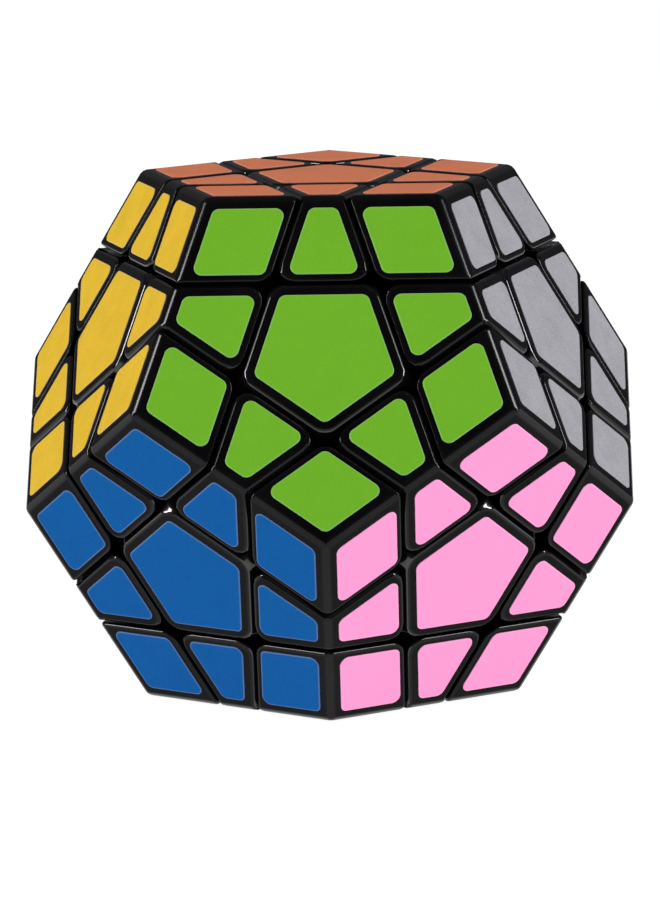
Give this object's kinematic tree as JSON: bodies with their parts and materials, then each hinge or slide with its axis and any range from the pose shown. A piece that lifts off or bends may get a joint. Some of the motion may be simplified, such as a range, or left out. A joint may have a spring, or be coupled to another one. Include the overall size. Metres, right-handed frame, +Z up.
{
  "type": "dodecahedron twisty puzzle",
  "caption": "Twelve-sided face-turning puzzle with three layers along each axis and a differently coloured sticker set on each face.",
  "frame": {"origin": "middle of the bottom (red) face, on which it stands", "axes": "+Z up along the axis of the top (orange) layer, -Y towards the front (green) face, +X to its right"},
  "size_m": [0.0784, 0.0812, 0.0679],
  "materials": {
    "black_abs": "gloss",
    "core_plastic": "satin",
    "screw_steel": "satin",
    "spring_steel": "satin",
    "sticker_orange": "satin",
    "sticker_green": "satin",
    "sticker_grey": "satin",
    "sticker_light_blue": "satin",
    "sticker_purple": "satin",
    "sticker_yellow": "satin",
    "sticker_pink": "satin",
    "sticker_cream": "satin",
    "sticker_dark_green": "satin",
    "sticker_white": "satin",
    "sticker_blue": "satin",
    "sticker_red": "satin"
  },
  "bodies": {
    "core_and_still_pieces": {"centre_blue": "black_abs", "centre_cream": "black_abs", "centre_green": "black_abs", "centre_grey": "black_abs", "centre_light_blue": "black_abs", "centre_purple": "black_abs", "centre_red": "black_abs", "centre_white": "black_abs", "centre_yellow": "black_abs", "core": "core_plastic", "corner_green_yellow_blue_with_edges": "black_abs", "corner_grey_light_blue_cream_with_edges": "black_abs", "corner_purple_yellow_white_with_edges": "black_abs", "corner_white_blue_red_with_edges": "black_abs", "corner_yellow_white_blue_with_edges": "black_abs", "edge_cream_red": "black_abs", "edge_green_grey": "black_abs", "edge_light_blue_purple": "black_abs", "screw_dark_green": "screw_steel", "screw_orange": "screw_steel", "screw_pink": "screw_steel", "spring_dark_green": "spring_steel", "spring_orange": "spring_steel", "spring_pink": "spring_steel"},
    "orange_layer": {"centre_cap_orange": "black_abs", "centre_orange": "black_abs", "corner_orange_green_grey": "black_abs", "corner_orange_green_yellow": "black_abs", "corner_orange_grey_light_blue": "black_abs", "corner_orange_light_blue_purple": "black_abs", "corner_orange_purple_yellow": "black_abs", "edge_orange_green": "black_abs", "edge_orange_grey": "black_abs", "edge_orange_light_blue": "black_abs", "edge_orange_purple": "black_abs", "edge_orange_yellow": "black_abs"},
    "pink_layer": {"centre_cap_pink": "black_abs", "centre_pink": "black_abs", "corner_green_grey_pink": "black_abs", "corner_green_pink_blue": "black_abs", "corner_grey_pink_cream": "black_abs", "corner_pink_blue_red": "black_abs", "corner_pink_cream_red": "black_abs", "edge_green_pink": "black_abs", "edge_grey_pink": "black_abs", "edge_pink_blue": "black_abs", "edge_pink_cream": "black_abs", "edge_pink_red": "black_abs"},
    "dark_green_layer": {"centre_cap_dark_green": "black_abs", "centre_dark_green": "black_abs", "corner_cream_dark_green_red": "black_abs", "corner_dark_green_white_red": "black_abs", "corner_light_blue_cream_dark_green": "black_abs", "corner_light_blue_purple_dark_green": "black_abs", "corner_purple_dark_green_white": "black_abs", "edge_cream_dark_green": "black_abs", "edge_dark_green_red": "black_abs", "edge_dark_green_white": "black_abs", "edge_light_blue_dark_green": "black_abs", "edge_purple_dark_green": "black_abs"}
  },
  "joints": [
    {"name": "orange_turn", "type": "hinge", "parent": "core_and_still_pieces", "child": "orange_layer", "pos_m": [0, 0, 0.03396], "axis": [0, 0, 1], "continuous": true},
    {"name": "pink_turn", "type": "hinge", "parent": "core_and_still_pieces", "child": "pink_layer", "pos_m": [0, 0, 0.03396], "axis": [0.5257, -0.7236, -0.4472], "continuous": true},
    {"name": "dark_green_turn", "type": "hinge", "parent": "core_and_still_pieces", "child": "dark_green_layer", "pos_m": [0, 0, 0.03396], "axis": [0, 0.8944, -0.4472], "continuous": true}
  ]
}
